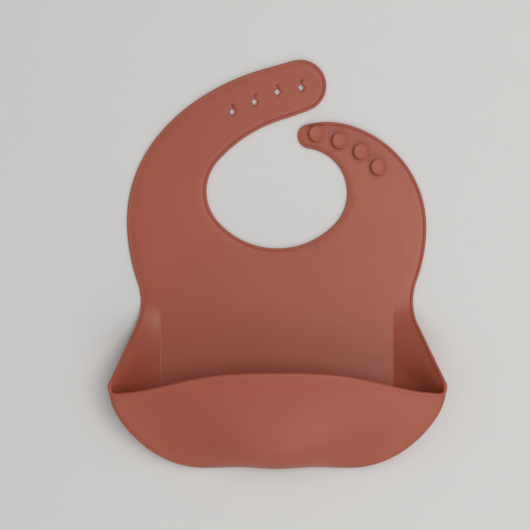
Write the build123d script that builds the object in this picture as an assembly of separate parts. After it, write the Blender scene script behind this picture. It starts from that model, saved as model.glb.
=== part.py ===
from build123d import *
import math
import os

# Silicone baby bib lying flat on its back, in millimetres.
# +Z comes out of the front, +Y runs from the crumb pocket up to the neck straps,
# and the origin is the middle of the resting face.
# The sheet is one moulding; it is split here where it bends, so each zone is its own solid.

# ---- driving dimensions ----
SHEET = 1.6            # thickness of the plain sheet
BEAD_WIDTH = 2.2       # thickened rim round every free edge
BEAD_HEIGHT = 2.4
GAP = 0.4              # clearance between two zones that bend against each other

WAIST_X = 100.8        # narrowest half width, where the pocket sides begin
WAIST_Y = -29.3
NECK = (0.0, 53.5)     # centre that the straps wrap round
UP = (0, 0, 1)

CREASE_X = 86.5        # fold line between the back panel and each pocket side
BASE_Y = -140.9        # where the panel starts to roll up into the pocket front
BASE_RADIUS = 44.7     # plan radius of the panel's lower corners
FLARE_RADIUS = 41.8    # plan radius of the rim at the waist
FLARE_ANGLE = 28.0     # the pocket rim then runs straight, this far off the bib's length
TIP = (115.9, -88.0)   # centre of the rim's turn at a pocket corner
TIP_RADIUS = 5.5
TIP_HEIGHT = 34.5
TIP_RISE = 0.8         # height gained round the corner
RIM_CURVE = 1.25       # the pocket rim lifts off the floor by this power of its length
LIP_Y = -77.5          # middle of the pocket lip
LIP_HEIGHT = 50.0
LIP_CURVE = 1.5        # how long the middle of the lip stays level

FRONT_ROLL = 20.3      # how far the foot of the pocket front rolls out past the panel's lower end
FRONT_OUT = 79.4       # pull of the front below the lip: outwards and down
FRONT_DROP = 9.8
CORNER_ROLL = 41.6     # the same three for the pocket's lower corners
CORNER_OUT = -13.3
CORNER_DROP = 20.1
CORNER_LIFT = 9.0      # height of the foot's roll at the corners
CORNER_SHARE = 0.493   # how much of the change from corner to front happens round the corner

BASE_START = 0.006     # the base channel starts this share past the panel's edge
BASE_TOP = 0.365       # share of the wall's height kept in the fixed base channel
WALL_FOOT = 0.400      # where the moving walls start
GUSSET_SPLIT = 0.35    # share of the gusset, from the waist, that stays with the panel
FRONT_EDGE = 2.28      # stations along the wall: 0 waist, 1 and 2 ends of the corner, 3 middle
SPLIT = 0.008          # gap between neighbouring patches, in stations
FRONT_SPLIT = 0.03     # wider gap where a corner swings past the front

FOLD_Y = -12.0         # line across which the bib folds for storage
LEFT_CUTS = (160.0, 143.0, 127.0, 111.7, 97.0, 83.4)    # bend lines of the slotted strap
RIGHT_CUTS = (5.0, 19.0, 31.6, 47.0)                    # bend lines of the buttoned strap
CUT_INNER = 30.0       # a bend line runs between these distances from the neck centre
CUT_OUTER = 125.0

SLOTS = ((-33.2, 112.4), (-16.7, 119.8), (0.3, 127.1), (17.8, 130.3))
SLOT_HALF_WIDTH = 2.65
SLOT_HALF_HEIGHT = 3.25
SLOT_WAIST = 0.8       # half width of the star hole between its points
SLIT_WIDTH = 0.5
SLIT_TOP = 5.2
SLIT_BOTTOM = -4.0
SLIT_EYE = 0.7         # radius of the small round end of the slit

BUTTONS = ((29.4, 95.7), (46.6, 90.6), (62.4, 82.5), (75.2, 71.0))
BUTTON_RADIUS = 6.1
BUTTON_HEAD = 2.6
BUTTON_EDGE = 1.0
BUTTON_DISH = 0.35
STEM_RADIUS = 2.4
STEM_HEIGHT = 2.0

# Ends of the tangent arcs that make the flat outline, from the left waist up round
# the slotted strap, down round the neck and out along the buttoned strap.
OUTLINE = (
    (-103.3, -14.5),
    (-111.1, 26.9),
    (-90.9, 91.1),
    (-63.7, 117.8),
    (-10.0, 143.8),
    (12.0, 150.0),
    (24.2, 113.5),
    (3.6, 106.3),
    (-43.6, 75.9),
    (-43.5, 30.3),
    (42.7, 28.8),
    (51.4, 58.8),
    (23.4, 85.0),
    (15.5, 96.4),
    (21.6, 102.7),
    (55.2, 101.8),
    (88.1, 81.7),
    (110.7, 26.9),
    (103.7, -12.8),
    (WAIST_X, WAIST_Y),
)


# ---- flat sheet ----
def outline_edges():
    """The flat outline as a chain of arcs, each tangent to the one before."""
    edges = []
    start = (-WAIST_X, WAIST_Y)
    heading = Vector(0, 1, 0)
    for end in OUTLINE:
        arc = Edge.make_tangent_arc(Vector(*start), heading, Vector(*end))
        edges.append(arc)
        heading = arc % 1
        start = end
    return edges


def closed_face(edges, bottom_y):
    """The outline closed by a straight-sided skirt down to bottom_y."""
    corners = ((WAIST_X, WAIST_Y), (WAIST_X, bottom_y), (-WAIST_X, bottom_y), (-WAIST_X, WAIST_Y))
    if bottom_y == WAIST_Y:
        corners = (corners[0], corners[3])
    sides = [Edge.make_line(a, b) for a, b in zip(corners[:-1], corners[1:])]
    return Face(Wire(edges + sides))


def star_slot(x, y):
    """Four-pointed hole with a short slit above and below it."""
    points = (
        (0, SLOT_HALF_HEIGHT),
        (SLOT_WAIST, SLOT_WAIST),
        (SLOT_HALF_WIDTH, 0),
        (SLOT_WAIST, -SLOT_WAIST),
        (0, -SLOT_HALF_HEIGHT),
        (-SLOT_WAIST, -SLOT_WAIST),
        (-SLOT_HALF_WIDTH, 0),
        (-SLOT_WAIST, SLOT_WAIST),
    )
    star = Polygon(*points, align=None)
    slit = Pos(0, (SLIT_TOP + SLIT_BOTTOM) / 2) * Rectangle(SLIT_WIDTH, SLIT_TOP - SLIT_BOTTOM)
    eye = Pos(0, SLIT_TOP) * Circle(SLIT_EYE)
    return Pos(x, y, -1) * extrude(star + slit + eye, SHEET + BEAD_HEIGHT)


def bend_cut(angle):
    """Thin slab along a bend line that points away from the neck centre."""
    length = CUT_OUTER - CUT_INNER
    slab = Box(length, GAP, 4 * BEAD_HEIGHT, align=(Align.MIN, Align.CENTER, Align.CENTER))
    return Pos(NECK[0], NECK[1]) * Rot(0, 0, angle) * Pos(CUT_INNER, 0) * slab


def flat_sheet():
    """Panel, yoke and straps with their raised rim, slots and bend gaps."""
    edges = outline_edges()
    upper = extrude(closed_face(edges, WAIST_Y), SHEET, dir=UP)
    height = WAIST_Y - BASE_Y
    panel = Pos(0, (WAIST_Y + BASE_Y) / 2) * Rectangle(2 * CREASE_X, height)
    panel = fillet(panel.vertices().group_by(Axis.Y)[0], BASE_RADIUS)
    lower = extrude(panel, SHEET, dir=UP)
    skirt = closed_face(edges, 2 * WAIST_Y)
    band = skirt - offset(skirt, -BEAD_WIDTH)
    keep = Pos(0, WAIST_Y) * Rectangle(400, 400, align=(Align.CENTER, Align.MIN))
    bead = extrude(band & keep, BEAD_HEIGHT, dir=UP)
    sheet = upper + lower + bead
    for x, y in SLOTS:
        sheet -= star_slot(x, y)
    for angle in LEFT_CUTS + RIGHT_CUTS:
        sheet -= bend_cut(angle)
    sheet -= Pos(0, FOLD_Y) * Box(3 * WAIST_X, GAP, 4 * BEAD_HEIGHT)
    return sheet


def polar(radius, angle):
    """Point at a distance and angle from the neck centre."""
    turn = math.radians(angle)
    return NECK[0] + radius * math.cos(turn), NECK[1] + radius * math.sin(turn)


def piece_at(sheet, points):
    """The one solid of the cut sheet that holds the first of the points that is on it."""
    for x, y in points:
        for solid in sheet.solids():
            if solid.is_inside(Vector(x, y, SHEET / 2)):
                return solid
    raise ValueError("no solid there")


def strap_piece(sheet, start, end):
    """The strap link halfway between two bend lines."""
    steps = range(int(CUT_INNER), int(CUT_OUTER))
    return piece_at(sheet, [polar(radius, (start + end) / 2) for radius in steps])


# ---- buttons ----
def button(x, y):
    """Mushroom button: stem on the sheet under a dished head with a rounded edge."""
    foot = SHEET
    under = foot + STEM_HEIGHT
    top = under + BUTTON_HEAD
    with BuildSketch(Plane.XZ) as profile:
        with BuildLine():
            Polyline((0, foot), (STEM_RADIUS, foot), (STEM_RADIUS, under), (BUTTON_RADIUS - 0.6, under))
            Line((BUTTON_RADIUS - 0.6, under), (BUTTON_RADIUS, under + 0.6))
            Line((BUTTON_RADIUS, under + 0.6), (BUTTON_RADIUS, top - BUTTON_EDGE))
            RadiusArc((BUTTON_RADIUS, top - BUTTON_EDGE), (BUTTON_RADIUS - BUTTON_EDGE, top), -BUTTON_EDGE)
            Line((BUTTON_RADIUS - BUTTON_EDGE, top), (BUTTON_RADIUS - 2 * BUTTON_EDGE, top - BUTTON_DISH))
            Line((BUTTON_RADIUS - 2 * BUTTON_EDGE, top - BUTTON_DISH), (0, top - BUTTON_DISH))
            Line((0, top - BUTTON_DISH), (0, foot))
        make_face()
    return Pos(x, y, 0) * revolve(profile.sketch, Axis.Z)


# ---- pocket wall ----
# The wall is one surface. A station runs along it (0 at the waist, 1 to 2 round the
# corner, 3 at the middle of the front) and a share runs up it (0 at the panel, 1 at the rim).
def smooth(share):
    """Ease from 0 to 1 with level ends."""
    share = min(1.0, max(0.0, share))
    return share * share * (3 - 2 * share)


def mix(a, b, share):
    return a + (b - a) * share


def rim_side(share):
    """Plan of the rim from the waist to the corner: an arc, then a straight flare."""
    turn = math.radians(FLARE_ANGLE)
    centre_x = WAIST_X + FLARE_RADIUS
    arc_end_x = centre_x - FLARE_RADIUS * math.cos(turn)
    arc_end_y = WAIST_Y - FLARE_RADIUS * math.sin(turn)
    end_x = TIP[0] + TIP_RADIUS * math.cos(turn)
    end_y = TIP[1] + TIP_RADIUS * math.sin(turn)
    arc_length = FLARE_RADIUS * turn
    run = math.hypot(end_x - arc_end_x, end_y - arc_end_y)
    along = share * (arc_length + run)
    if along < arc_length:
        angle = along / FLARE_RADIUS
        x = centre_x - FLARE_RADIUS * math.cos(angle)
        return x, WAIST_Y - FLARE_RADIUS * math.sin(angle)
    rest = (along - arc_length) / run
    return mix(arc_end_x, end_x, rest), mix(arc_end_y, end_y, rest)


def rim_point(station):
    """Free edge of the wall."""
    if station <= 1:
        x, y = rim_side(station)
        return Vector(x, y, TIP_HEIGHT * station**RIM_CURVE)
    if station <= 2:
        turn = math.radians(FLARE_ANGLE - (station - 1) * (FLARE_ANGLE + 90))
        x = TIP[0] + TIP_RADIUS * math.cos(turn)
        y = TIP[1] + TIP_RADIUS * math.sin(turn)
        return Vector(x, y, TIP_HEIGHT + TIP_RISE * smooth(station - 1))
    out = 3 - station
    drop = (1 - math.cos(math.pi * out**LIP_CURVE)) / 2
    y = mix(LIP_Y, TIP[1] - TIP_RADIUS, drop)
    return Vector(TIP[0] * out, y, mix(LIP_HEIGHT, TIP_HEIGHT + TIP_RISE, drop))


def base_point(station):
    """Where the wall meets the flat panel, and the plan direction out of the panel there."""
    corner_y = BASE_Y + BASE_RADIUS
    if station <= 1:
        return Vector(CREASE_X, mix(WAIST_Y, corner_y, station), 0), Vector(1, 0, 0)
    if station <= 2:
        turn = -(station - 1) * math.pi / 2
        out = Vector(math.cos(turn), math.sin(turn), 0)
        return Vector(CREASE_X - BASE_RADIUS, corner_y, 0) + out * BASE_RADIUS, out
    return Vector((CREASE_X - BASE_RADIUS) * (3 - station), BASE_Y, 0), Vector(0, -1, 0)


def wall_point(station, share):
    """Point of the wall's outer face: a cubic curve from the panel to the rim."""
    rim = rim_point(station)
    base, out = base_point(station)
    rolled = smooth(station - 0.55)
    front = CORNER_SHARE * smooth((station - 1.2) / 0.8) + (1 - CORNER_SHARE) * smooth(station - 2)
    run = rim - base
    straight_1 = base + Vector(run.X * 0.33, run.Y * 0.33, run.Z * 0.24)
    straight_2 = base + run * 0.67
    rolled_1 = base + out * mix(CORNER_ROLL, FRONT_ROLL, front) + Vector(0, 0, mix(CORNER_LIFT, 0, front))
    rolled_2 = rim + out * mix(CORNER_OUT, FRONT_OUT, front) - Vector(0, 0, mix(CORNER_DROP, FRONT_DROP, front))
    handle_1 = mix(straight_1, rolled_1, rolled)
    handle_2 = mix(straight_2, rolled_2, rolled)
    back = 1 - share
    lower = base * back**3 + handle_1 * (3 * share * back * back)
    return lower + handle_2 * (3 * share * share * back) + rim * share**3


def bead_share(station):
    """Share of the wall's height at which the rim bead starts."""
    length = (rim_point(station) - base_point(station)[0]).length
    return 1 - BEAD_WIDTH / (length * mix(1.0, 1.3, smooth(station - 1)))


def foot_share(station):
    """Share at which a gusset clears the panel's edge that its thickness leans over."""
    base = base_point(station)[0]
    rise = wall_point(station, 0.1) - base
    length = (rim_point(station) - base).length
    return SHEET * rise.Z / rise.length / length


def hinge_share(station):
    """The same with the bend gap added, for a gusset that folds against the panel."""
    length = (rim_point(station) - base_point(station)[0]).length
    return foot_share(station) + GAP / length


def patch(first, last, low, high, thickness, columns=13, rows=9):
    """Part of the wall between two stations, thickened inwards; past station 3 it is mirrored."""
    grid = []
    for column in range(columns):
        place = mix(first, last, column / (columns - 1))
        station = place if place <= 3 else 6 - place
        side = 1 if place <= 3 else -1
        bottom = low(station) if callable(low) else low
        top = high(station) if callable(high) else high
        points = [wall_point(station, mix(bottom, top, row / (rows - 1))) for row in range(rows)]
        grid.append([Vector(side * p.X, p.Y, max(p.Z, 0)) for p in points])
    face = Face.make_surface_from_array_of_points(grid, tol=0.005)
    return Solid.thicken(face, thickness)


def pocket_pieces():
    """Base channel, front, gussets and corners, each a patch of the one wall."""
    root_end = GUSSET_SPLIT - SPLIT
    gusset_start = GUSSET_SPLIT + SPLIT
    base_start = 1.0 + 2 * SPLIT
    side_end = FRONT_EDGE - FRONT_SPLIT
    front = FRONT_EDGE + FRONT_SPLIT
    pieces = {
        "pocket_base": patch(2.0 + SPLIT, 4.0 - SPLIT, BASE_START, BASE_TOP, SHEET, columns=21),
        "pocket_front": patch(front, 6 - front, WALL_FOOT, bead_share, SHEET, columns=25),
        "pocket_lip": patch(front, 6 - front, bead_share, 1.0, BEAD_HEIGHT, columns=25, rows=4),
    }
    right = {
        "gusset_root": patch(SPLIT, root_end, foot_share, bead_share, SHEET),
        "gusset_root_bead": patch(SPLIT, root_end, bead_share, 1.0, BEAD_HEIGHT, rows=4),
        "base_corner": patch(base_start, 2.0, BASE_START, BASE_TOP, SHEET, columns=15),
        "gusset": patch(gusset_start, 1.0, hinge_share, bead_share, SHEET),
        "gusset_bead": patch(gusset_start, 1.0, bead_share, 1.0, BEAD_HEIGHT, rows=4),
        "pocket_corner": patch(1.0, 2.0, WALL_FOOT, bead_share, SHEET, columns=17),
        "corner_bead": patch(1.0, 2.0, bead_share, 1.0, BEAD_HEIGHT, columns=17, rows=4),
        "front_end": patch(2.0 + SPLIT / 4, side_end, WALL_FOOT, bead_share, SHEET, columns=7),
        "lip_end": patch(2.0 + SPLIT / 4, side_end, bead_share, 1.0, BEAD_HEIGHT, columns=7, rows=4),
    }
    for name, solid in right.items():
        pieces[name + "_right"] = solid
        pieces[name + "_left"] = mirror(solid, Plane.YZ)
    return pieces


def sheet_pieces():
    """Name every solid of the cut sheet."""
    sheet = flat_sheet()
    pieces = {
        "back_panel": piece_at(sheet, [(0, BASE_Y / 2)]),
        "yoke": piece_at(sheet, [(0, 0)]),
    }
    left_ends = LEFT_CUTS[1:] + (2 * LEFT_CUTS[-1] - LEFT_CUTS[-2],)
    for number, (start, end) in enumerate(zip(LEFT_CUTS, left_ends), 1):
        pieces[f"slot_strap_{number}"] = strap_piece(sheet, start, end)
    right_ends = RIGHT_CUTS[1:] + (2 * RIGHT_CUTS[-1] - RIGHT_CUTS[-2],)
    for number, (start, end) in enumerate(zip(RIGHT_CUTS, right_ends), 1):
        pieces[f"button_strap_{number}"] = strap_piece(sheet, start, end)
    return pieces


def build():
    pieces = sheet_pieces()
    for number, (x, y) in enumerate(reversed(BUTTONS), 1):
        pieces[f"button_{number}"] = button(x, y)
    pieces.update(pocket_pieces())
    return pieces


os.makedirs("parts", exist_ok=True)
for name, shape in build().items():
    export_step(shape, f"parts/{name}.step")
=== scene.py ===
import math

import bpy
import numpy as np
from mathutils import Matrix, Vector
from mathutils.geometry import delaunay_2d_cdt


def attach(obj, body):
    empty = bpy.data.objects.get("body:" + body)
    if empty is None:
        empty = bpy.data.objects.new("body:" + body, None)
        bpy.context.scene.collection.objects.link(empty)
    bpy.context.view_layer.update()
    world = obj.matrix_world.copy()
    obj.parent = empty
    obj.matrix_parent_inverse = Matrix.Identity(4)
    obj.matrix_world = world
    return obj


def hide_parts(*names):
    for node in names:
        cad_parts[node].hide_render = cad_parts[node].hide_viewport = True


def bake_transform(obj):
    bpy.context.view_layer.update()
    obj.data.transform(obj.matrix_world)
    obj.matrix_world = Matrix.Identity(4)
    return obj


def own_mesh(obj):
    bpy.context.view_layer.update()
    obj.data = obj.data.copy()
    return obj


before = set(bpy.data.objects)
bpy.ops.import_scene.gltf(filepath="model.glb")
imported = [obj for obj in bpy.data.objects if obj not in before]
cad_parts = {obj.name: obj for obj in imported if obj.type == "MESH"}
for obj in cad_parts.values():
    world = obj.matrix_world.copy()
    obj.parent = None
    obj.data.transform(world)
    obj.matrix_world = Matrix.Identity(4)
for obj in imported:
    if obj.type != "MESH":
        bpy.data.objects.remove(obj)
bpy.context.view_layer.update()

MM = 0.001

# ---------------------------------------------------------------- sizes, in millimetres
SHEET = 1.6
NECK = np.array([0.0, 53.5])
WAIST_X, WAIST_Y = 100.8, -29.3
CREASE_X = 86.5
BASE_Y, BASE_RADIUS = -140.9, 44.7
FLARE_RADIUS, FLARE_ANGLE = 41.8, math.radians(28.0)
TIP = (115.9, -88.0)
TIP_RADIUS, TIP_HEIGHT, TIP_RISE, RIM_CURVE = 5.5, 34.5, 0.8, 1.25
LIP_Y, LIP_HEIGHT, LIP_CURVE = -77.5, 50.0, 1.5
FRONT_ROLL, FRONT_OUT, FRONT_DROP = 20.3, 79.4, 9.8
CORNER_ROLL, CORNER_OUT, CORNER_DROP, CORNER_LIFT = 41.6, -13.3, 20.1, 9.0
CORNER_SHARE = 0.493
ROLL_START, TURN_START, TURN_RUN = 0.55, 1.2, 0.8    # stations where the wall rolls and turns frontwards
OUTLINE = (
    (-103.3, -14.5), (-111.1, 26.9), (-90.9, 91.1), (-63.7, 117.8), (-10.0, 143.8),
    (12.0, 150.0), (24.2, 113.5), (3.6, 106.3), (-43.6, 75.9), (-43.5, 30.3),
    (42.7, 28.8), (51.4, 58.8), (23.4, 85.0), (15.5, 96.4), (21.6, 102.7),
    (55.2, 101.8), (88.1, 81.7), (110.7, 26.9), (103.7, -12.8), (WAIST_X, WAIST_Y),
)
SLOTS = ((-33.2, 112.4), (-16.7, 119.8), (0.3, 127.1), (17.8, 130.3))
BUTTONS = ((75.2, 71.0), (62.4, 82.5), (46.6, 90.6), (29.4, 95.7))
LEFT_BENDS = (160.0, 143.0, 127.0, 111.7, 97.0, 83.4)
LEFT_SEAMS = (168.0, 151.5, 134.5, 115.9, 100.6, 86.3, 73.4)
RIGHT_BENDS = (5.0, 19.0, 31.6, 47.0)
RIGHT_SEAMS = (-0.6, 15.6, 27.7, 41.7, 58.8)
FOLD_Y, FOLD_TOP = -12.0, 5.3
# Section of the raised rim: distance in from the edge, height above the back.
BEAD = (
    (3.2, 1.6), (2.75, 1.5), (2.45, 1.52), (2.2, 1.78), (1.85, 2.15), (1.45, 2.36), (1.05, 2.4),
    (0.62, 2.27), (0.28, 1.98), (0.06, 1.55), (0.0, 1.1), (0.05, 0.62), (0.25, 0.22), (0.6, 0.03),
    (1.1, 0.0), (1.6, 0.0), (2.1, 0.0), (2.6, 0.0), (3.2, 0.0),
)
LIP_SWELL = 0.4        # the rim bead also swells outwards along the pocket
SWELL_RUN = 0.7        # stations over which that swelling starts at the waist
SWELL_WIDTH = 2.6      # distance in from the edge over which it dies away
BEAD_OUTERMOST = 9     # place of the outermost point among the rim's own points
CREASE_STRIP = 1.0     # narrow band of the panel along the foot of the pocket wall
FOOT_EASE = 4.5        # distance up the wall over which its inner face turns out of the panel
FOOT_PUSH, FOOT_PUSH_TOP = 0.25, 12.0    # least slope of the inner face by the crease, and its end
ROW_SHARE = 0.866      # height of an even triangle over its side
# Star slot about its middle: round eye, two slits, and concave sides between the tips.
EYE_RADIUS, EYE_Y, SLIT = 0.5, 5.1, 0.13
SLIT_TOP, SLIT_FOOT, SLIT_END = 3.6, -3.5, (0.12, -3.9)
STAR_END = (0.0, -4.05)
STAR_SIDES = (((0.16, 3.0), (0.85, 0.85), (2.75, 0.1)), ((2.75, -0.1), (0.85, -0.85), (0.16, -3.15)))
STAR_DROP = 0.2
HOLE_RINGS = ((4.4, 6.4), (5.6, 7.6))    # ovals of even points round each slot
BUTTON_RADIUS, BUTTON_EDGE, STEM_RADIUS = 6.1, 1.0, 2.4
BUTTON_UNDER, BUTTON_TOP = SHEET + 2.0, SHEET + 4.6


def smooth(t):
    t = min(1.0, max(0.0, t))
    return t * t * (3 - 2 * t)


def mix(a, b, t):
    return a + (b - a) * t


# ---------------------------------------------------------------- flat outline
def outline_samples(step):
    """Points of the tangent arcs with the outward normal at each."""
    points, normals = [], []
    p = np.array([-WAIST_X, WAIST_Y])
    t = np.array([0.0, 1.0])
    for end in OUTLINE:
        c = np.array(end) - p
        n = np.array([-t[1], t[0]])
        half = math.atan2(c @ n, c @ t)
        length = np.linalg.norm(c)
        radius = length / (2 * math.sin(half)) if abs(half) > 1e-6 else 1e9
        arc = abs(radius * 2 * half)
        count = max(4, int(math.ceil(arc / step)))
        centre = p + n * radius
        for k in range(count):
            a = 2 * half * k / count
            ca, sa = math.cos(a), math.sin(a)
            d = p - centre
            points.append(centre + np.array([d[0] * ca - d[1] * sa, d[0] * sa + d[1] * ca]))
            tangent = np.array([t[0] * ca - t[1] * sa, t[0] * sa + t[1] * ca])
            normals.append(np.array([-tangent[1], tangent[0]]))
        ca, sa = math.cos(2 * half), math.sin(2 * half)
        t = np.array([t[0] * ca - t[1] * sa, t[0] * sa + t[1] * ca])
        p = np.array(end)
    points.append(p)
    normals.append(np.array([-t[1], t[0]]))
    return np.array(points), np.array(normals)


EDGE, OUT = outline_samples(1.3)
INNER = EDGE - OUT * BEAD[0][0]
COUNT = len(EDGE)


def ray_indices(angle):
    """The two outline samples whose inner points lie nearest the ray: neck side and outer side."""
    a = math.radians(angle)
    e = np.array([math.cos(a), math.sin(a)])
    rel = INNER - NECK
    along, off = rel @ e, rel @ np.array([-e[1], e[0]])
    best = {}
    for i in range(COUNT - 1):
        if along[i] > 20 and off[i] * off[i + 1] <= 0:
            k = i if abs(off[i]) < abs(off[i + 1]) else i + 1
            best[k] = along[k]
    order = sorted(best, key=best.get)
    return order[0], order[-1]


def row_indices(y):
    """First and last outline samples where the inner edge crosses the level y."""
    found = [i for i in range(COUNT - 1) if (INNER[i][1] - y) * (INNER[i + 1][1] - y) <= 0]
    return min(found), max(found)


def inside(poly, p):
    """Which of the points p lie in the polygon."""
    x, y = p[:, 0], p[:, 1]
    odd = np.zeros(len(p), bool)
    q = np.roll(poly, -1, axis=0)
    for (x1, y1), (x2, y2) in zip(poly, q):
        cross = (y1 > y) != (y2 > y)
        with np.errstate(divide="ignore", invalid="ignore"):
            at = (x2 - x1) * (y - y1) / (y2 - y1) + x1
        odd ^= cross & (x < at)
    return odd


def distance(poly, p):
    """Distance of the points p from the closed polyline."""
    best = np.full(len(p), 1e9)
    for a, b in zip(poly, np.roll(poly, -1, axis=0)):
        d = b - a
        t = np.clip(((p - a) @ d) / max(d @ d, 1e-12), 0, 1)
        best = np.minimum(best, np.linalg.norm(p - a - t[:, None] * d, axis=1))
    return best


def grid_points(loop, holes, spacing):
    """Staggered grid of points inside the loop, clear of its edge and of the holes."""
    low, high = loop.min(0), loop.max(0)
    grid = []
    for k, y in enumerate(np.arange(low[1], high[1], spacing * ROW_SHARE)):
        for x in np.arange(low[0] + (k % 2) * spacing / 2, high[0], spacing):
            grid.append((x, y))
    grid = np.array(grid)
    grid = grid[inside(loop, grid)]
    grid = grid[distance(loop, grid) > spacing * 0.45]
    for hole in holes:
        grid = grid[~inside(hole, grid)]
        grid = grid[distance(hole, grid) > 0.7]
    return grid


def ring_points(loop, hole):
    """Even points on ovals round a hole, where they lie clear of the edge of the sheet."""
    near = []
    for half_width, half_height in HOLE_RINGS:
        for k in range(24):
            a = 2 * math.pi * k / 24
            near.append(hole.mean(0) + np.array([half_width * math.cos(a), half_height * math.sin(a)]))
    near = np.array(near)
    near = near[inside(loop, near)]
    return near[distance(loop, near) > 0.8]


def triangulate(loop, holes, spacing):
    """Even triangles inside the loop and outside the holes."""
    grid = grid_points(loop, holes, spacing)
    points = [tuple(p) for p in loop]
    edges = [(i, (i + 1) % len(loop)) for i in range(len(loop))]
    for hole in holes:
        first = len(points)
        points += [tuple(p) for p in hole]
        edges += [(first + i, first + (i + 1) % len(hole)) for i in range(len(hole))]
        near = ring_points(loop, hole)
        if len(near):
            grid = grid[[min(np.hypot(*(g - n)) for n in near) > 0.9 for g in grid]]
        points += [tuple(p) for p in near]
    points += [tuple(p) for p in grid]
    out = delaunay_2d_cdt([Vector(p) for p in points], edges, [], 1, 1e-5)
    verts = np.array([(v.x, v.y) for v in out[0]])
    centres = np.array([verts[list(face)].mean(0) for face in out[2]])
    wanted = inside(loop, centres)
    for hole in holes:
        wanted &= ~inside(hole, centres)
    faces = []
    for face in (face for face, keep in zip(out[2], wanted) if keep):
        a, b, c = (verts[i] for i in face)
        turn = (b[0] - a[0]) * (c[1] - a[1]) - (b[1] - a[1]) * (c[0] - a[0])
        faces.append(tuple(face) if turn > 0 else tuple(face)[::-1])
    return verts, faces


def star_hole(x, y):
    """Four-pointed star with concave sides, a slit above and below and a round eye on top."""
    right = []
    for degrees in np.linspace(90, -75, 9):
        a = math.radians(degrees)
        right.append((EYE_RADIUS * math.cos(a), EYE_Y + EYE_RADIUS * math.sin(a)))
    right.append((SLIT, SLIT_TOP))
    for start, pull, end in np.array(STAR_SIDES):
        for t in np.linspace(0, 1, 7):
            right.append(tuple((1 - t) ** 2 * start + 2 * t * (1 - t) * pull + t * t * end))
    right += [(SLIT, SLIT_FOOT), SLIT_END, STAR_END]
    left = [(-px, py) for px, py in right[1:-1]][::-1]
    return np.array(right + left) + np.array([x, y - STAR_DROP])


# ---------------------------------------------------------------- meshes
def make_object(name, verts, faces):
    """Smooth mesh object from points in millimetres."""
    mesh = bpy.data.meshes.new(name)
    points = [tuple(float(c) * MM for c in v) for v in verts]
    mesh.from_pydata(points, [], [tuple(int(i) for i in f) for f in faces])
    mesh.validate()
    mesh.update()
    for polygon in mesh.polygons:
        polygon.use_smooth = True
    obj = bpy.data.objects.new(name, mesh)
    bpy.context.scene.collection.objects.link(obj)
    return obj


class Builder:
    """Collects vertices and joins the ones that fall on the same place."""

    def __init__(self):
        self.verts, self.faces, self.index = [], [], {}

    def vertex(self, p):
        key = (round(p[0], 3), round(p[1], 3), round(p[2], 3))
        if key not in self.index:
            self.index[key] = len(self.verts)
            self.verts.append((float(p[0]), float(p[1]), float(p[2])))
        return self.index[key]

    def face(self, points):
        ids = []
        for p in points:
            i = self.vertex(p)
            if i not in ids:
                ids.append(i)
        if len(ids) > 2:
            self.faces.append(ids)

    def flat(self, verts, faces, z, up):
        """Level triangles at height z, facing up or down."""
        for f in faces:
            points = [(verts[i][0], verts[i][1], z) for i in f]
            self.face(points if up else points[::-1])

    def wall(self, loop, low, high):
        """Side of a hole, facing into it."""
        n = len(loop)
        for i in range(n):
            a, b = loop[i], loop[(i + 1) % n]
            self.face([(b[0], b[1], low), (b[0], b[1], high), (a[0], a[1], high), (a[0], a[1], low)])


def bead_strip(builder, first, last):
    """The raised rim along the outline from one sample to another."""
    for i in range(first, last):
        for (d1, h1), (d2, h2) in zip(BEAD[:-1], BEAD[1:]):
            quad = []
            for j, d, h in ((i, d1, h1), (i, d2, h2), (i + 1, d2, h2), (i + 1, d1, h1)):
                p = EDGE[j] - OUT[j] * d
                quad.append((p[0], p[1], h))
            builder.face(quad[::-1])


def straight(a, b, step):
    """Points strictly between a and b."""
    n = max(1, int(round(np.linalg.norm(b - a) / step)))
    return [a + (b - a) * k / n for k in range(1, n)]


def flat_piece(name, loop, strips, holes, spacing):
    """Flat sheet with its lengths of rim and its holes."""
    builder = Builder()
    verts, faces = triangulate(np.array(loop), holes, spacing)
    builder.flat(verts, faces, SHEET, True)
    builder.flat(verts, faces, 0.0, False)
    for hole in holes:
        builder.wall(hole, 0.0, SHEET)
    for first, last in strips:
        bead_strip(builder, first, last)
    return make_object(name, builder.verts, builder.faces)


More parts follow.
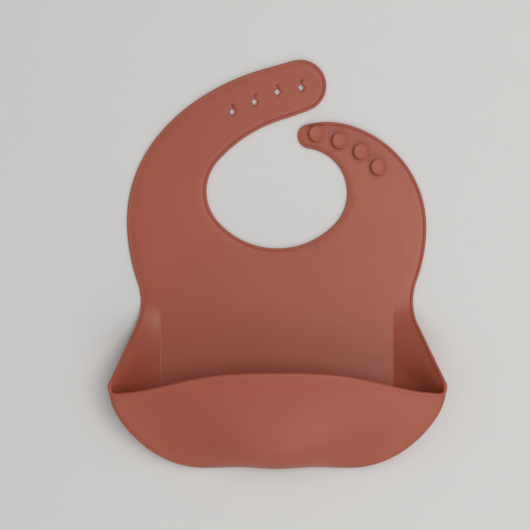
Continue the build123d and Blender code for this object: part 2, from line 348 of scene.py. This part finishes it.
# ---------------------------------------------------------------- pocket wall
def rim_point(st):
    """Top of the pocket wall: station 0 is the waist, 1 to 2 the corner, 3 the middle of the lip."""
    end_x = TIP[0] + TIP_RADIUS * math.cos(FLARE_ANGLE)
    end_y = TIP[1] + TIP_RADIUS * math.sin(FLARE_ANGLE)
    if st <= 1:
        cx = WAIST_X + FLARE_RADIUS
        ax = cx - FLARE_RADIUS * math.cos(FLARE_ANGLE)
        ay = WAIST_Y - FLARE_RADIUS * math.sin(FLARE_ANGLE)
        arc = FLARE_RADIUS * FLARE_ANGLE
        run = math.hypot(end_x - ax, end_y - ay)
        along = max(0.0, st) * (arc + run)
        z = TIP_HEIGHT * max(0.0, st) ** RIM_CURVE
        if along < arc:
            a = along / FLARE_RADIUS
            return np.array([cx - FLARE_RADIUS * math.cos(a), WAIST_Y - FLARE_RADIUS * math.sin(a), z])
        rest = (along - arc) / run
        return np.array([mix(ax, end_x, rest), mix(ay, end_y, rest), z])
    if st <= 2:
        turn = FLARE_ANGLE - (st - 1) * (FLARE_ANGLE + math.pi / 2)
        return np.array([TIP[0] + TIP_RADIUS * math.cos(turn), TIP[1] + TIP_RADIUS * math.sin(turn),
                         TIP_HEIGHT + TIP_RISE * smooth(st - 1)])
    out = max(0.0, 3 - st)
    drop = (1 - math.cos(math.pi * out ** LIP_CURVE)) / 2
    return np.array([TIP[0] * (3 - st), mix(LIP_Y, TIP[1] - TIP_RADIUS, drop),
                     mix(LIP_HEIGHT, TIP_HEIGHT + TIP_RISE, drop)])


def base_point(st):
    """Foot of the pocket wall on the panel, and the direction straight out from it."""
    corner_y = BASE_Y + BASE_RADIUS
    if st <= 1:
        return np.array([CREASE_X, mix(WAIST_Y, corner_y, st), 0.0]), np.array([1.0, 0.0, 0.0])
    if st <= 2:
        turn = -(st - 1) * math.pi / 2
        out = np.array([math.cos(turn), math.sin(turn), 0.0])
        return np.array([CREASE_X - BASE_RADIUS, corner_y, 0.0]) + out * BASE_RADIUS, out
    return np.array([(CREASE_X - BASE_RADIUS) * (3 - st), BASE_Y, 0.0]), np.array([0.0, -1.0, 0.0])


def handles(st):
    """The four points of the wall's curve from foot to rim."""
    rim = rim_point(st)
    base, out = base_point(st)
    rolled = smooth(st - ROLL_START)
    turned = smooth((st - TURN_START) / TURN_RUN)
    front = CORNER_SHARE * turned + (1 - CORNER_SHARE) * smooth(st - 2)
    up = np.array([0.0, 0.0, 1.0])
    run = rim - base
    straight_1 = base + run * np.array([0.33, 0.33, 0.24])
    straight_2 = base + run * 0.67
    rolled_1 = base + out * mix(CORNER_ROLL, FRONT_ROLL, front) + up * mix(CORNER_LIFT, 0, front)
    rolled_2 = rim + out * mix(CORNER_OUT, FRONT_OUT, front) - up * mix(CORNER_DROP, FRONT_DROP, front)
    return base, mix(straight_1, rolled_1, rolled), mix(straight_2, rolled_2, rolled), rim


def bezier(h, v):
    b = 1 - v
    return h[0] * b ** 3 + h[1] * (3 * v * b * b) + h[2] * (3 * v * v * b) + h[3] * v ** 3


def wall_normal(st, v):
    """Inward normal of the wall."""
    e = 2e-3
    a, b = max(0.0, st - e), min(3.0, st + e)
    along = bezier(handles(b), v) - bezier(handles(a), v)
    lo, hi = max(0.0, v - e), min(1.0, v + e)
    h = handles(st)
    up = bezier(h, hi) - bezier(h, lo)
    n = np.cross(along, up)
    return n / max(np.linalg.norm(n), 1e-12)


def section(st, rows):
    """Section of the wall at a station: inner face from the panel up, bead, outer face back down."""
    h = handles(st)
    speed = 3 * np.linalg.norm(h[3] - h[2])
    shares = [r * (1 - BEAD[0][0] / speed) for r in rows]
    run = [0.0]
    points = [bezier(h, v) for v in shares]
    for a, b in zip(points[:-1], points[1:]):
        run.append(run[-1] + np.linalg.norm(b - a))
    loop = []
    up = np.array([0.0, 0.0, 1.0])
    base, out = base_point(st)
    for v, p, r in zip(shares, points, run):
        n = wall_normal(st, v)
        ease = smooth(r / FOOT_EASE)
        n = mix(up, n, ease)
        n = n / np.linalg.norm(n)
        q = p + n * SHEET
        short = FOOT_PUSH * min(r, 4.0) - (q - base) @ out
        if short > 0 and r < FOOT_PUSH_TOP:
            q = q + out * short
        q[2] = max(q[2], SHEET)
        loop.append(q)
    swell = LIP_SWELL * smooth(st / SWELL_RUN)
    for k, (d, z) in enumerate(BEAD[1:-1]):
        v = 1 - d / speed
        if k > BEAD_OUTERMOST:
            z -= swell * math.sin(math.pi * min(1.0, d / SWELL_WIDTH)) ** 0.7
        loop.append(bezier(h, v) + wall_normal(st, v) * z)
    for v, p in list(zip(shares, points))[::-1]:
        loop.append(np.array([p[0], p[1], max(0.0, p[2])]))
    return loop


def pocket_mesh():
    """The panel below the waist with the pocket wall round it, and its seam at the waist."""
    stations = list(np.linspace(0, 1, 49)) + list(np.linspace(1, 2, 49))[1:]
    stations += list(np.linspace(2, 3, 61))[1:]
    rows = [0.0, 0.012, 0.025, 0.04, 0.058, 0.08] + list(np.linspace(0.11, 1.0, 40))
    right = [section(st, rows) for st in stations]
    left = [[np.array([-p[0], p[1], p[2]]) for p in loop] for loop in right]
    ring = right + left[::-1][1:]
    builder = Builder()
    for a, b in zip(ring[:-1], ring[1:]):
        for k in range(len(a) - 1):
            builder.face([b[k], b[k + 1], a[k + 1], a[k]])
    base = [np.array(loop[0][:2]) for loop in ring]
    outward = [base_point(st)[1][:2] for st in stations]
    outward += [out * np.array([-1.0, 1.0]) for out in outward[::-1][1:]]
    inset = [p - out * CREASE_STRIP for p, out in zip(base, outward)]
    for i in range(len(base) - 1):
        quad = [inset[i], inset[i + 1], base[i + 1], base[i]]
        builder.face([(p[0], p[1], SHEET) for p in quad])
        builder.face([(p[0], p[1], 0.0) for p in quad[::-1]])
    crossing = [inset[-1]] + straight(inset[-1], inset[0], 3.2) + [inset[0]]
    loop = np.array([tuple(p) for p in inset + crossing[1:-1]])
    keep = [i for i in range(len(loop)) if np.hypot(*(loop[i] - loop[i - 1])) > 1e-4]
    loop = loop[keep]
    verts, faces = triangulate(loop, [], 5.0)
    builder.flat(verts, faces, SHEET, True)
    builder.flat(verts, faces, 0.0, False)
    right_end = [np.array(p[:2]) for p in right[0][:len(rows)]]
    left_end = [np.array(p[:2]) for p in left[0][:len(rows)]]
    return builder, right_end[::-1] + crossing[::-1] + left_end


# ---------------------------------------------------------------- buttons
def button_mesh():
    """Mushroom button: its profile, from the stem's foot to the dished top, turned round the stem."""
    foot, under, top = SHEET - 0.1, BUTTON_UNDER, BUTTON_TOP
    stem, radius, edge = STEM_RADIUS, BUTTON_RADIUS, BUTTON_EDGE
    profile = [(stem + 0.5, foot), (stem + 0.16, foot + 0.28), (stem, foot + 0.6)]
    profile += [(stem, under - 0.3), (stem + 0.15, under)]
    profile += [(radius - 0.7, under), (radius - 0.25, under + 0.12), (radius, under + 0.5)]
    profile += [(radius, top - edge)]
    for k in range(1, 7):
        a = math.radians(90 * k / 6)
        profile.append((radius - edge + edge * math.cos(a), top - edge + edge * math.sin(a)))
    rim = radius - edge
    dish = top - 0.35
    profile += [(rim - 0.25, top - 0.03), (rim - 0.6, top - 0.16), (rim - 1.0, top - 0.29)]
    profile += [(rim - 1.6, dish), (1.6, dish), (0.0, dish)]
    verts, faces = [], []
    turns = 64
    for r, z in profile[:-1]:
        for k in range(turns):
            a = 2 * math.pi * k / turns
            verts.append((r * math.cos(a), r * math.sin(a), z))
    for i in range(len(profile) - 2):
        for k in range(turns):
            j = (k + 1) % turns
            faces.append((i * turns + k, i * turns + j, (i + 1) * turns + j, (i + 1) * turns + k))
    verts.append((0.0, 0.0, profile[-1][1]))
    last = (len(profile) - 2) * turns
    for k in range(turns):
        faces.append((last + k, last + (k + 1) % turns, len(verts) - 1))
    faces.append(tuple(range(turns))[::-1])
    return verts, faces


# ---------------------------------------------------------------- material
def node(tree, kind, **inputs):
    """New shader node with its inputs set."""
    made = tree.nodes.new(kind)
    for key, value in inputs.items():
        made.inputs[key.replace("_", " ")].default_value = value
    return made


def silicone():
    """Matt terracotta silicone: faint change of shade, fine grain and a soft unevenness."""
    mat = bpy.data.materials.new("silicone")
    mat.use_nodes = True
    tree = mat.node_tree
    bsdf = tree.nodes["Principled BSDF"]
    place = tree.nodes.new("ShaderNodeTexCoord")
    wide = node(tree, "ShaderNodeTexNoise", Scale=14.0, Detail=3.0, Roughness=0.55)
    fine = node(tree, "ShaderNodeTexNoise", Scale=1600.0, Detail=3.0, Roughness=0.6)
    mottle = node(tree, "ShaderNodeTexNoise", Scale=190.0, Detail=4.0, Roughness=0.6)
    for tex in (wide, fine, mottle):
        tree.links.new(place.outputs["Object"], tex.inputs["Vector"])
    ramp = tree.nodes.new("ShaderNodeValToRGB")
    ramp.color_ramp.elements[0].position = 0.3
    ramp.color_ramp.elements[0].color = (0.350, 0.080, 0.044, 1)
    ramp.color_ramp.elements[1].position = 0.72
    ramp.color_ramp.elements[1].color = (0.376, 0.089, 0.049, 1)
    tree.links.new(wide.outputs["Fac"], ramp.inputs["Fac"])
    tree.links.new(ramp.outputs["Color"], bsdf.inputs["Base Color"])
    rough = tree.nodes.new("ShaderNodeMapRange")
    rough.inputs["From Min"].default_value = 0.3
    rough.inputs["From Max"].default_value = 0.7
    rough.inputs["To Min"].default_value = 0.38
    rough.inputs["To Max"].default_value = 0.45
    tree.links.new(mottle.outputs["Fac"], rough.inputs["Value"])
    tree.links.new(rough.outputs["Result"], bsdf.inputs["Roughness"])
    bump = node(tree, "ShaderNodeBump", Strength=0.10, Distance=0.00006)
    tree.links.new(fine.outputs["Fac"], bump.inputs["Height"])
    soft = node(tree, "ShaderNodeBump", Strength=0.12, Distance=0.0004)
    tree.links.new(mottle.outputs["Fac"], soft.inputs["Height"])
    tree.links.new(bump.outputs["Normal"], soft.inputs["Normal"])
    tree.links.new(soft.outputs["Normal"], bsdf.inputs["Normal"])
    bsdf.inputs["Specular IOR Level"].default_value = 0.38
    bsdf.inputs["Subsurface Weight"].default_value = 0.08
    bsdf.inputs["Subsurface Radius"].default_value = (0.0022, 0.0009, 0.0006)
    bsdf.inputs["Subsurface Scale"].default_value = 1.0
    return mat


MATERIAL = silicone()


def finish_piece(obj):
    obj.data.materials.append(MATERIAL)
    return obj


# ---------------------------------------------------------------- pocket and panel
pocket_builder, waist_seam = pocket_mesh()
pocket = finish_piece(make_object("pocket_and_panel", pocket_builder.verts, pocket_builder.faces))
SIDED = ("gusset_root", "gusset_root_bead", "base_corner", "gusset", "gusset_bead", "pocket_corner",
         "corner_bead", "front_end", "lip_end")
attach(pocket, "apron")
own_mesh(pocket)
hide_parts("back_panel", "pocket_base", "pocket_front", "pocket_lip",
            *[f"{n}_{side}" for n in SIDED for side in ("left", "right")])

# ---------------------------------------------------------------- fold zone and yoke
fold_left, fold_right = row_indices(FOLD_TOP)
fold_ends = INNER[fold_left], INNER[fold_right]
fold_seam = [fold_ends[0]] + straight(*fold_ends, 2.6) + [fold_ends[1]]
loop = [INNER[i] for i in range(0, fold_left)] + fold_seam + [INNER[i] for i in range(fold_right + 1, COUNT)]
loop += waist_seam[1:-1]
fold_strips = [(0, fold_left), (fold_right, COUNT - 1)]
fold = finish_piece(flat_piece("fold_zone", loop, fold_strips, [], 2.8))
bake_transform(fold)
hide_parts("back_panel", "yoke")

left_rays = [ray_indices(a) for a in LEFT_SEAMS]
right_rays = [ray_indices(a) for a in RIGHT_SEAMS]


def ray_seam(pair):
    """Points across the strap between two outline samples."""
    near, far = pair
    return [INNER[near]] + straight(INNER[near], INNER[far], 2.4) + [INNER[far]]


def between(first, last):
    """Inner edge points strictly between two outline samples."""
    return [INNER[i] for i in range(first + 1, last)]


near_l, far_l = left_rays[0]
near_r, far_r = right_rays[0]
loop = fold_seam[::-1] + between(fold_left, far_l) + ray_seam((near_l, far_l))[::-1]
loop += between(near_l, near_r) + ray_seam((near_r, far_r)) + between(far_r, fold_right)
yoke_strips = [(fold_left, far_l), (near_l, near_r), (far_r, fold_right)]
yoke = finish_piece(flat_piece("yoke_sheet", loop, yoke_strips, [], 5.0))
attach(yoke, "yoke")
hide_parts("yoke")


# ---------------------------------------------------------------- straps
def strap_pieces(prefix, rays, bends, holes_at, node_name, clockwise):
    """One piece for each zone of a strap. Each is built flat with its lengths of rim and its slots, and
    stands in for that zone's part.
    """
    for k, bend in enumerate(bends):
        near_a, far_a = rays[k]
        last = k == len(bends) - 1
        near_b, far_b = rays[k + 1]
        if clockwise:
            strips = [(far_a, near_a)] if last else [(far_a, far_b), (near_b, near_a)]
        else:
            strips = [(near_a, far_a)] if last else [(near_a, near_b), (far_b, far_a)]
        loop = ray_seam((near_a, far_a))
        if last:
            loop += between(far_a, near_a) if clockwise else between(near_a, far_a)[::-1]
        elif clockwise:
            loop += between(far_a, far_b) + ray_seam((near_b, far_b))[::-1] + between(near_b, near_a)
        else:
            loop += between(far_b, far_a)[::-1] + ray_seam((near_b, far_b))[::-1]
            loop += between(near_a, near_b)[::-1]
        poly = np.array(loop)
        holes = [star_hole(*c) for c in holes_at if inside(poly, np.array([c]))[0]]
        piece = finish_piece(flat_piece(f"{prefix}_{k + 1}", loop, strips, holes, 2.4))
        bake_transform(piece)
        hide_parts(f"{node_name}_{k + 1}")


strap_pieces("slotted_strap", left_rays, LEFT_BENDS, SLOTS,
             "slot_strap", True)
strap_pieces("buttoned_strap", right_rays, RIGHT_BENDS, (),
             "button_strap", False)

# ---------------------------------------------------------------- buttons
button_verts, button_faces = button_mesh()
for number, (x, y) in enumerate(BUTTONS, 1):
    verts = [(vx + x, vy + y, vz) for vx, vy, vz in button_verts]
    piece = finish_piece(make_object(f"snap_button_{number}", verts, button_faces))
    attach(piece, f"button_link_{number}")
    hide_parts(f"button_{number}")


# ---------------------------------------------------------------- floor, light, camera
def floor_material():
    """Pale, dull studio paper."""
    mat = bpy.data.materials.new("floor")
    mat.use_nodes = True
    tree = mat.node_tree
    bsdf = tree.nodes["Principled BSDF"]
    place = tree.nodes.new("ShaderNodeTexCoord")
    grain = node(tree, "ShaderNodeTexNoise", Scale=40.0, Detail=4.0, Roughness=0.6)
    tree.links.new(place.outputs["Object"], grain.inputs["Vector"])
    ramp = tree.nodes.new("ShaderNodeValToRGB")
    ramp.color_ramp.elements[0].color = (0.66, 0.65, 0.64, 1)
    ramp.color_ramp.elements[1].color = (0.68, 0.67, 0.66, 1)
    tree.links.new(grain.outputs["Fac"], ramp.inputs["Fac"])
    tree.links.new(ramp.outputs["Color"], bsdf.inputs["Base Color"])
    bsdf.inputs["Roughness"].default_value = 0.85
    bsdf.inputs["Specular IOR Level"].default_value = 0.2
    return mat


bpy.ops.mesh.primitive_plane_add(size=6, location=(0, 0, -0.0001))
floor = bpy.context.object
floor.name = "floor"
floor.data.materials.append(floor_material())

LAMP_COLOUR = (1.0, 0.985, 0.965)
VIEW_WIDTH = 0.3935      # what the camera sees across the floor
CAMERA = (-0.00895, -0.00145, 0.9)


def area_light(name, place, target, size, power):
    """Square soft light, turned to its target."""
    data = bpy.data.lights.new(name, "AREA")
    data.shape = "SQUARE"
    data.size = size
    data.energy = power
    data.color = LAMP_COLOUR
    lamp = bpy.data.objects.new(name, data)
    lamp.location = place
    lamp.rotation_euler = (Vector(target) - Vector(place)).to_track_quat("-Z", "Y").to_euler()
    bpy.context.scene.collection.objects.link(lamp)


area_light("overhead", (0.5, 0.05, 1.4), (0, 0, 0), 0.8, 8.0)
area_light("top", (0.42, 0.85, 1.35), (0, 0, 0), 0.6, 2.2)
area_light("front", (0.35, -1.35, 0.95), (0, -0.05, 0), 1.2, 6.8)

world = bpy.data.worlds.new("studio")
world.use_nodes = True
world.node_tree.nodes["Background"].inputs["Color"].default_value = (0.95, 0.97, 0.98, 1)
world.node_tree.nodes["Background"].inputs["Strength"].default_value = 0.45
bpy.context.scene.world = world
bpy.context.scene.view_settings.view_transform = "Standard"

camera_data = bpy.data.cameras.new("camera")
camera_data.sensor_width = 36.0
camera_data.angle = 2 * math.atan(VIEW_WIDTH / 2 / CAMERA[2])
camera = bpy.data.objects.new("camera", camera_data)
camera.location = CAMERA
bpy.context.scene.collection.objects.link(camera)
bpy.context.scene.camera = camera
